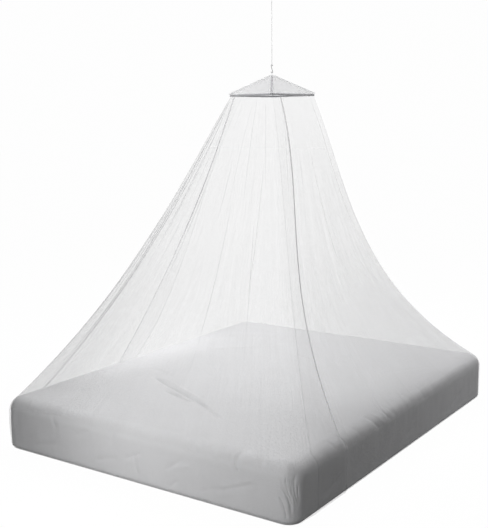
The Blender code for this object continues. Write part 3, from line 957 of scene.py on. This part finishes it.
# How dense the sheer bindings look: share of the way down, right binding, left binding
BINDING_DENSITIES = (
    (0.00, 0.12, 0.15),
    (0.10, 0.14, 0.25),
    (0.20, 0.27, 0.45),
    (0.30, 0.31, 0.46),
    (0.40, 0.42, 0.38),
    (0.50, 0.56, 0.18),
    (0.60, 0.54, 0.10),
    (0.70, 0.44, 0.07),
    (0.80, 0.30, 0.07),
    (0.90, 0.25, 0.11),
    (0.955, 0.24, 0.14),
    (0.985, 0.11, 0.08),
    (1.05, 0.03, 0.03),
)


# The folded tape in section: shares of its width across it, shares of its lift out of the net
BINDING_SECTION = (
    (1.0, 1.0),
    (0.5, 1.05),
    (0.0, 1.0),
    (-0.06, 0.6),
    (-0.08, 0.0),
    (-0.06, -0.6),
    (0.0, -1.0),
    (0.5, -1.0),
    (1.0, -1.0),
)
BINDING_THICKNESS = 0.0005


def make_binding(name, panel, material, solid):
    """A tape folded over the bound edge of a wall panel."""
    station = np.array([panel[1] - HEM_WIDTH / MATTRESS_LENGTH, panel[1]])
    points = panel_surface(panel, station, np.zeros(2), [])
    inner, edge = points[:, 0], points[:, 1]
    across = unit(inner - edge)
    down = unit(np.gradient(edge, axis=0))
    out = unit(np.cross(across, down)) * (NET_THICKNESS / 2 + BINDING_THICKNESS)
    across = across * BINDING_WIDTH
    rows = np.stack([edge + across * a + out * b for a, b in BINDING_SECTION], axis=1)
    # its top end stops a little lower, under the band
    rows[0] += down[0] * TAPE_THICKNESS
    uv = uv_grid(np.linspace(0, 2 * BINDING_WIDTH, len(BINDING_SECTION)), run_along(edge))
    tape = grid_mesh(name, rows, uv)
    share = np.arange(len(rows)) / (NET_ROWS - 1)
    density = look_up(BINDING_DENSITIES, share, 1 if panel is FOOT_PANEL else 2)
    set_density_and_shade(tape, np.repeat(density, len(BINDING_SECTION)))
    thicken(tape, BINDING_THICKNESS)
    return finish_piece(tape, material, "grey_tape", solid)


# Tubes ----------------------------------------------------


def sweep(name, path, radius, sides=18, closed=False, lobes=0, twist=0.0, depth=0.0):
    """A round or lobed tube along a path, with its lobes twisting round it as strands do."""
    ahead = np.roll(path, -1, axis=0) - np.roll(path, 1, axis=0)
    tangent = unit(ahead if closed else np.gradient(path, axis=0))
    first = [unit(np.cross(tangent[0], (0, 0, 1) if abs(tangent[0][2]) < 0.9 else (0, 1, 0)))]
    for direction in tangent[1:]:
        first.append(unit(first[-1] - direction * (first[-1] @ direction)))
    first = np.array(first)[:, None]
    second = np.cross(tangent, first[:, 0])[:, None]
    run = run_along(path)[:, None]
    angle = np.linspace(0, 2 * math.pi, sides, endpoint=False)
    turn = run * twist + angle
    size = radius * (1 - depth + depth * np.abs(np.cos(lobes / 2 * turn)))
    spokes = first * np.cos(angle)[:, None] + second * np.sin(angle)[:, None]
    points = path[:, None] + spokes * size[..., None]
    uv = np.stack(np.broadcast_arrays(angle * radius, run), -1)
    if closed:
        points = np.concatenate([points, points[:1]])
        uv = np.concatenate([uv, uv[-1:] + (0, radius)])
    tube = grid_mesh(name, points, uv, closed_columns=True)
    form = bmesh.new()
    form.from_mesh(tube.data)
    bmesh.ops.remove_doubles(form, verts=form.verts, dist=1e-6)
    if not closed:
        loops = [edge for edge in form.edges if edge.is_boundary]
        bmesh.ops.holes_fill(form, edges=loops, sides=0)
    bmesh.ops.recalc_face_normals(form, faces=form.faces)
    form.to_mesh(tube.data)
    form.free()
    tube.data.shade_smooth()
    return tube


def make_ring(name, height, radius, steps, wire, finish, solid, **strands):
    """A ring of tape or cord that stands upright, across the hook's plane."""
    across = np.array((-math.sin(HOOK_TURN), math.cos(HOOK_TURN), 0))
    angle = np.linspace(0, 2 * math.pi, steps, endpoint=False)[:, None]
    circle = across * np.sin(angle) + np.array((0, 0, 1)) * np.cos(angle)
    ring = sweep(name, above(height) + radius * circle, wire / 2, closed=True, **strands)
    return finish_piece(ring, *finish, solid)


def make_hook(low_centre, high_centre, steel):
    """A round wire spun into a lower bend, a shank and an upper bend that opens the other way."""
    across = np.array((math.cos(HOOK_TURN), math.sin(HOOK_TURN), 0))
    start = across * math.cos(HOOK_SPIN) - np.array((0, 0, math.sin(HOOK_SPIN)))
    deselect()
    bpy.ops.mesh.primitive_circle_add(
        vertices=HOOK_SIDES,
        radius=HOOK_WIRE / 2,
        location=above(low_centre) + HOOK_BEND * start,
        rotation=(0, HOOK_SPIN, HOOK_TURN),
    )
    hook = bpy.context.object
    hook.name = hook.data.name = "s_hook"
    bpy.ops.object.transform_apply(location=True, rotation=True, scale=True)
    bend = {"steps": HOOK_STEPS, "axis": (math.sin(HOOK_TURN), -math.cos(HOOK_TURN), 0)}
    bpy.ops.object.mode_set(mode="EDIT")
    bpy.ops.mesh.select_all(action="SELECT")
    bpy.ops.mesh.spin(angle=-HOOK_SPIN, center=above(low_centre), **bend)
    lean = -2 * HOOK_BEND * across + (0, 0, high_centre - low_centre)
    bpy.ops.mesh.extrude_region_move(TRANSFORM_OT_translate={"value": lean})
    bpy.ops.mesh.spin(angle=HOOK_SPIN, center=above(high_centre), **bend)
    bpy.ops.mesh.select_all(action="SELECT")
    bpy.ops.mesh.fill_holes(sides=0)
    bpy.ops.mesh.bevel(offset=HOOK_WIRE * 0.15, segments=3)
    bpy.ops.mesh.select_all(action="SELECT")
    bpy.ops.mesh.normals_make_consistent(inside=False)
    bpy.ops.object.mode_set(mode="OBJECT")
    hook.data.shade_smooth()
    return finish_piece(hook, steel, "plain_steel", "steel_hook")


def make_hanging(tape, steel, cord):
    """The loop at the apex, the hook in it, and the cord with the rings at its two ends."""
    loop_height = APEX_HEIGHT - LOOP_SEAT + LOOP_RADIUS + LOOP_TAPE / 2
    webbing, braid = (tape, "grey_tape"), (cord, "white_cord")
    make_ring("apex_tape_loop", loop_height, LOOP_RADIUS, 64, LOOP_TAPE, webbing, "apex_loop")
    loop_low_face = loop_height + LOOP_RADIUS - LOOP_TAPE / 2
    low_centre = loop_low_face - HANG_GAP - HOOK_WIRE / 2 + HOOK_BEND
    high_centre = low_centre + HOOK_LENGTH - 2 * HOOK_BEND - HOOK_WIRE
    make_hook(low_centre, high_centre, steel)
    hook_low_face = high_centre + HOOK_BEND - HOOK_WIRE / 2
    eye_height = hook_low_face - HANG_GAP - CORD_DIAMETER / 2 + EYE_RADIUS
    cord_start = eye_height + EYE_RADIUS + CORD_DIAMETER / 2 + GAP
    top_height = cord_start + CORD_LENGTH + GAP + CORD_DIAMETER / 2 + CORD_LOOP_RADIUS
    size = "cord_lower_eye", eye_height, EYE_RADIUS, 60, CORD_DIAMETER
    eye = make_ring(*size, braid, "cord_eye", **STRANDS)
    cord_line = above(cord_start) + np.linspace(0, CORD_LENGTH, 400)[:, None] * (0, 0, 1)
    rope = sweep("taut_cord", cord_line, CORD_DIAMETER / 2, **STRANDS)
    finish_piece(rope, *braid, "hanging_cord")
    size = "cord_upper_loop", top_height, CORD_LOOP_RADIUS, 120, CORD_DIAMETER
    end = make_ring(*size, braid, "cord_top_loop", **STRANDS)
    path = [(0, HANG_Y, height) for height in np.linspace(cord_start, cord_start + CORD_LENGTH, 40)]
    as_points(path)


# The mattress ---------------------------------------------

GRID_STEP = 0.0105
FINE_HEIGHT = 0.0003
CROWN = 0.007
# Broad unevenness: wave length, direction, height, start
TOP_WAVES = ((0.41, 0.9, 0.0008, 0.3), (0.19, 2.2, 0.0005, 1.9), (0.105, 0.4, 0.0003, 4.0))
SIDE_WAVES = ((0.23, 0.3, 0.0008, 0.0), (0.11, -0.4, 0.0006, 1.3), (0.055, 0.25, 0.0003, 2.4))

# Creases on the top: first end x, y, last end x, y, height (a trough is below zero), half width
TOP_CREASES = thousandths(
    (0, 1, 2, 3, 4, 5),
    (-410, -370, -215, -480, -7, 10),
    (-250, -455, 130, -625, -9, 10),
    (-400, -345, 110, -585, 5.2, 14),
    (-215, -525, 20, -595, -7, 8),
    (50, -590, 250, -705, -5.6, 10),
    (-330, -430, -60, -560, 4, 9),
    (-620, -200, -300, -330, -3.6, 18),
    (100, 150, 460, -50, -3.2, 20),
    (300, -450, 620, -660, -3.8, 16),
    (-550, -720, -200, -800, -3, 20),
    (160, -340, 290, -560, -2.8, 13),
    (-100, 420, 350, 300, -3.6, 20),
    (-520, 250, -200, 550, -3.2, 20),
    (500, 300, 700, 620, -3.6, 16),
)
# Creases down the sides: first end station, run, last end station, run, height, half width. The
# run is the height on the side, and past the top edge it goes on inwards.
SIDE_CREASES = thousandths(
    (1, 3, 4, 5),
    (0.614, 100, 0.662, 168, -2.5, 8),
    (0.618, 28, 0.662, 74, -2.5, 8),
    (0.64, 120, 0.69, 150, 1.6, 9),
    (0.818, 290, 0.822, 170, -2.8, 5),
    (0.838, 300, 0.84, 165, -3.1, 5),
    (0.828, 290, 0.831, 170, 1.9, 5),
    (0.765, 65, 0.88, 145, -2, 11),
    (0.77, 85, 0.885, 165, 1.2, 11),
    (0.72, 45, 0.8, 100, -1.5, 10),
    (0.512, 140, 0.514, 40, -3.6, 7),
    (0.47, 100, 0.54, 150, -2.8, 9),
    (0.425, 270, 0.43, 150, -2.6, 10),
    (0.35, 60, 0.44, 100, -2.6, 12),
    (0.29, 150, 0.35, 190, -2, 12),
    (0.2, 280, 0.215, 150, -2.4, 11),
    (0.12, 50, 0.22, 90, -2.4, 13),
    (0.7, 300, 0.712, 210, -1.9, 8),
    (0.752, 310, 0.76, 200, -2.1, 6),
    (0.9, 300, 0.915, 190, -1.7, 6),
    (1.15, 320, 1.16, 220, -2.7, 9),
    (1.19, 320, 1.202, 200, -3.1, 10),
    (1.255, 325, 1.268, 200, -3, 10),
    (1.332, 330, 1.35, 185, -4.2, 10),
    (1.36, 330, 1.378, 190, 3, 10),
    (1.398, 330, 1.412, 200, -3.8, 9),
    (1.425, 320, 1.44, 210, -3, 9),
    (1.52, 320, 1.545, 210, -2.6, 12),
    (1.596, 330, 1.612, 190, -3.8, 10),
    (1.62, 330, 1.64, 190, 2.7, 10),
    (1.655, 330, 1.668, 210, -3.4, 10),
    (1.74, 320, 1.765, 200, -2.7, 11),
    (1.1, 60, 1.2, 110, -2.6, 13),
    (1.45, 50, 1.56, 100, -1.8, 14),
    (1.75, 60, 1.85, 110, -1.8, 13),
    (2.2, 300, 2.22, 150, -3.6, 10),
    (2.35, 50, 2.44, 120, -2.8, 12),
    (2.5, 300, 2.51, 150, -3.6, 11),
    (2.64, 100, 2.7, 170, -2.6, 12),
    (2.8, 300, 2.79, 150, -3.6, 10),
    (3.2, 300, 3.22, 180, -3.6, 10),
    (3.35, 60, 3.43, 120, -2.6, 13),
    (3.5, 300, 3.52, 180, -3.6, 11),
    (3.68, 90, 3.74, 150, -2.6, 12),
    (3.85, 300, 3.86, 180, -3.6, 10),
)
# Gathers at each corner of the fitted sheet: corner, count, how far before it and past it in
# metres, depth. They close up towards the foot.
CORNER_GATHERS = (
    (1, 14, -0.086, 0.026, 0.0025),
    (2, 11, -0.056, 0.056, 0.0019),
    (3, 11, -0.056, 0.056, 0.0019),
    (4, 10, -0.066, 0.046, 0.0017),
)
GATHER_TOP = 0.215
CREASE_BEND = 0.012
GATHER_SEED = 5


def gather_rows():
    """Side creases for the corners, wide apart at the top and close together low down."""
    random = np.random.default_rng(GATHER_SEED)
    rows = []
    for corner, count, before, past, depth in CORNER_GATHERS:
        length = MATTRESS_WIDTH if corner % 2 else MATTRESS_LENGTH
        for reach in np.linspace(before, past, count):
            reach += random.uniform(-0.004, 0.004)
            top = GATHER_TOP + random.uniform(-0.04, 0.04) - abs(reach) * 0.6
            low = random.uniform(0.03, 0.12)
            height = -depth * random.uniform(0.4, 1.3)
            half_width = random.uniform(0.003, 0.0055)
            ends = corner + reach / length, corner + reach * random.uniform(0.35, 0.7) / length
            rows.append((ends[0], top, ends[1], low, height, half_width))
    return rows


def spread(half, crowding=0.35):
    """Grid lines from -half to half, closer together towards the ends."""
    count = 2 * round(half / GRID_STEP)
    share = np.linspace(-1, 1, count + 1)
    return half * ((1 - crowding) * share + crowding * np.sin(share * math.pi / 2))


def box_patches():
    """Six grids of points on the plain box, each shaped (rows, columns, 3)."""
    half_x, half_y = BED_HALF
    heights = spread(MATTRESS_HEIGHT / 2, 0.2) + MATTRESS_HEIGHT / 2
    lines = [spread(half_x), spread(half_y), heights]
    for axis, ends in ((2, (0, MATTRESS_HEIGHT)), (1, (-half_y, half_y)), (0, (-half_x, half_x))):
        for end in ends:
            grid = np.meshgrid(*lines[:axis], [end], *lines[axis + 1 :], indexing="ij")
            yield np.stack([part.T for part in grid], -1).squeeze()


def round_pair(a, b):
    """Maps a square's quarter, with a and b from 0 to 1, onto a quarter of a disc."""
    return a * np.sqrt(1 - b * b / 2), b * np.sqrt(1 - a * a / 2)


def soften(points):
    """Rounds the plain box's corners and edges. Also gives each point's station and its run."""
    sign = np.where(points[:, :2] < 0, -1.0, 1.0)
    plain = np.abs(points[:, :2])
    straight = BED_HALF - CORNER_RADIUS
    inside = (plain - straight) / CORNER_RADIUS
    in_corner = (inside > 0).all(axis=1)
    disc = np.stack(round_pair(*np.clip(inside, 0, 1).T), 1)
    reach = np.linalg.norm(disc, axis=1)
    gaps = BED_HALF - plain
    nearest = gaps.argmin(axis=1)
    normal = np.eye(2)[nearest]
    normal[in_corner] = disc[in_corner] / np.maximum(reach[in_corner], 1e-9)[:, None]
    inset = np.where(in_corner, CORNER_RADIUS * (1 - reach), gaps.min(axis=1))
    flat = np.where(in_corner[:, None], straight + CORNER_RADIUS * disc, plain)
    # the rounded edges above and below
    height, new_inset = points[:, 2].copy(), inset.copy()
    for radius, is_top in ((TOP_RADIUS, True), (BASE_RADIUS, False)):
        depth = MATTRESS_HEIGHT - height if is_top else height
        c, d = 1 - inset / radius, 1 - depth / radius
        c2, d2 = round_pair(np.clip(c, 0, 1), np.clip(d, 0, 1))
        new_depth = radius * (1 - d2)
        new_height = MATTRESS_HEIGHT - new_depth if is_top else new_depth
        both = (c > 0) & (d > 0)
        new_inset = np.where(both, radius * (1 - c2), new_inset)
        height = np.where(both, new_height, height)
    flat = (flat - normal * (new_inset - inset)[:, None]) * sign
    # the station of the nearest point of the outline
    swing = np.arctan2(disc[:, 1], disc[:, 0])
    spoke = np.stack([np.cos(swing), np.sin(swing)], 1)
    round_corner = straight + CORNER_RADIUS * math.sqrt(2) * spoke
    place = np.where(in_corner[:, None], round_corner, plain) * sign / BED_HALF
    on_x_side = np.where(in_corner, swing < math.pi / 4, nearest == 0)
    foot_or_head = np.where(sign[:, 1] < 0, (place[:, 0] + 1) / 2, 2 + (1 - place[:, 0]) / 2)
    right_or_left = np.where(sign[:, 0] > 0, 1 + (place[:, 1] + 1) / 2, 3 + (1 - place[:, 1]) / 2)
    station = np.where(on_x_side, right_or_left, foot_or_head)
    run = np.where(points[:, 2] > MATTRESS_HEIGHT - 1e-6, MATTRESS_HEIGHT + inset, points[:, 2])
    run = np.where(points[:, 2] < 1e-6, -inset, run)
    return np.concatenate([flat, height[:, None]], axis=1), station, run


def crease(across, up, row):
    """The height of one soft crease at points of a flat sheet."""
    x0, y0, x1, y1, height, half_width = row
    way = np.array((x1 - x0, y1 - y0))
    length = np.linalg.norm(way)
    way /= length
    share = ((across - x0) * way[0] + (up - y0) * way[1]) / length
    aside = (up - y0) * way[0] - (across - x0) * way[1]
    taper = smooth(np.minimum(share, 1 - share) / 0.25 + 0.2)
    return height * taper * np.exp(-((aside / half_width) ** 2))


def side_creases(station, run):
    """The height of the creases on the sides, and the sum of their sizes, at each point."""
    rise, size = np.zeros(len(station)), np.zeros(len(station))
    for row in (*SIDE_CREASES, *gather_rows()):
        # stations turn into metres by the length of the side that each point is on
        corner = round(row[0])
        sides = (corner - 1, corner) if abs(row[0] - corner) < 0.1 else (int(row[0]),) * 2
        before, after = (MATTRESS_LENGTH if side % 2 else MATTRESS_WIDTH for side in sides)
        last = station_gap(row[2], row[0]) * (before + after) / 2
        gap = station_gap(station, row[0])
        near = np.abs(gap) < 0.25
        scale = np.where(station_gap(station[near], corner) < 0, before, after)
        bend = CREASE_BEND * np.sin(run[near] * 28 + row[0] * 9)
        height = crease(gap[near] * scale + bend, run[near], (0.0, row[1], last, *row[3:]))
        rise[near] += height
        size[near] += np.abs(height)
    return rise, size


def sheet_rise(x, y, station, run):
    """How far the fitted sheet stands off the plain form, and the size of its creases alone."""
    on_top = np.clip((run - MATTRESS_HEIGHT) / 0.05, 0, 1)
    on_side = np.clip(run / 0.03, 0, 1) * np.clip((MATTRESS_HEIGHT + 0.08 - run) / 0.06, 0, 1)
    across = (1 - (2 * x / MATTRESS_WIDTH) ** 2).clip(0)
    along = (1 - (2 * y / MATTRESS_LENGTH) ** 2).clip(0)
    top = np.array([crease(x, y, row) for row in TOP_CREASES]) * on_top
    side, side_size = side_creases(station, run)
    rise = CROWN * across * along * on_top + top.sum(axis=0) + side * on_side
    waves = ((TOP_WAVES, on_top, x, y), (SIDE_WAVES, on_side, station * 1.8, run))
    for table, share, a, b in waves:
        for length, turn, height, start in table:
            way = 2 * math.pi * (a * math.cos(turn) + b * math.sin(turn)) / length
            rise += height * np.sin(way + start + 2.0 * np.sin(b * 7 + start)) * share
    return rise, np.abs(top).sum(axis=0) + side_size * on_side


def fitted_form():
    """The rounded mattress as one closed form, finer where the sheet is creased."""
    form = bmesh.new()
    station_layer = form.verts.layers.float.new("station")
    run_layer = form.verts.layers.float.new("run")
    for patch in box_patches():
        points, stations, runs = soften(patch.reshape(-1, 3))
        rows, columns = patch.shape[:2]
        verts = [form.verts.new(point) for point in points]
        for vert, station, run in zip(verts, stations, runs):
            vert[station_layer] = station
            vert[run_layer] = run
        for r in range(rows - 1):
            for i in range(r * columns, (r + 1) * columns - 1):
                form.faces.new((verts[i], verts[i + 1], verts[i + columns + 1], verts[i + columns]))
    bmesh.ops.remove_doubles(form, verts=form.verts, dist=2e-5)
    values = [(*vert.co[:2], vert[station_layer], vert[run_layer]) for vert in form.verts]
    x, y, station, run = np.transpose(values)
    creased = (sheet_rise(x, y, station, run)[1] > FINE_HEIGHT) & (run > 0.02)
    fine = {vert for vert, is_creased in zip(form.verts, creased) if is_creased}
    edges = [edge for edge in form.edges if edge.verts[0] in fine and edge.verts[1] in fine]
    bmesh.ops.subdivide_edges(form, edges=edges, cuts=2, use_grid_fill=True)
    bmesh.ops.recalc_face_normals(form, faces=form.faces)
    return form


def read_values(items, key, width=1):
    """The values of a mesh's vertices or of one of its attributes, as an array."""
    values = np.empty(len(items) * width)
    items.foreach_get(key, values)
    return values.reshape(-1, width) if width > 1 else values


def make_mattress(material):
    """The mattress in its fitted sheet, with the sheet's creases raised out of its form."""
    form = fitted_form()
    mesh = bpy.data.meshes.new("fitted_mattress")
    form.to_mesh(mesh)
    form.free()
    places = read_values(mesh.vertices, "co", 3)
    normals = read_values(mesh.vertices, "normal", 3)
    station, run = (read_values(mesh.attributes[name].data, "value") for name in ("station", "run"))
    rise, _ = sheet_rise(places[:, 0], places[:, 1], station, run)
    places += normals * rise[:, None]
    mesh.vertices.foreach_set("co", places.reshape(-1))
    for name in ("station", "run"):
        mesh.attributes.remove(mesh.attributes[name])
    mesh.shade_smooth()
    mattress = link_mesh("fitted_mattress", mesh)
    finish_piece(mattress, material, "white_cotton", "mattress")


# The whole ------------------------------------------------


def make_walls(binding, tape):
    net = make_net_finish()
    right_tape = make_binding("entrance_binding_right", FOOT_PANEL, binding, "binding_right")
    left_tape = make_binding("entrance_binding_left", HEAD_PANEL, binding, "binding_left")
    band = make_band(tape)
    # name, panel, tapes sewn to it
    walls = (
        ("net_foot", FOOT_PANEL, [right_tape]),
        ("net_head", HEAD_PANEL, [left_tape, band]),
    )
    for name, panel, tapes in walls:
        wall, width, height, area = make_wall(name, panel, net)
        min(area, width * height) * 0.98
        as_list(tapes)


def make_roof(tape):
    cloth = make_roof_finish()
    for side in range(4):
        panel = make_roof_panel(side, cloth)
        ridge = make_ridge_tape(side, tape)


def main():
    make_camera()
    make_floor()
    make_lamps()
    make_studio()
    tape, loop_tape, binding = (make_tape_finish(*row) for row in TAPES)
    make_hanging(loop_tape, make_steel_finish(), make_cord_finish())
    make_mattress(make_cotton_finish())
    make_walls(binding, tape)
    make_roof(tape)
    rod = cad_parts["spreader_frame"]
    rod.data.materials.clear()
    rod.data.materials.append(make_rod_finish())


main()
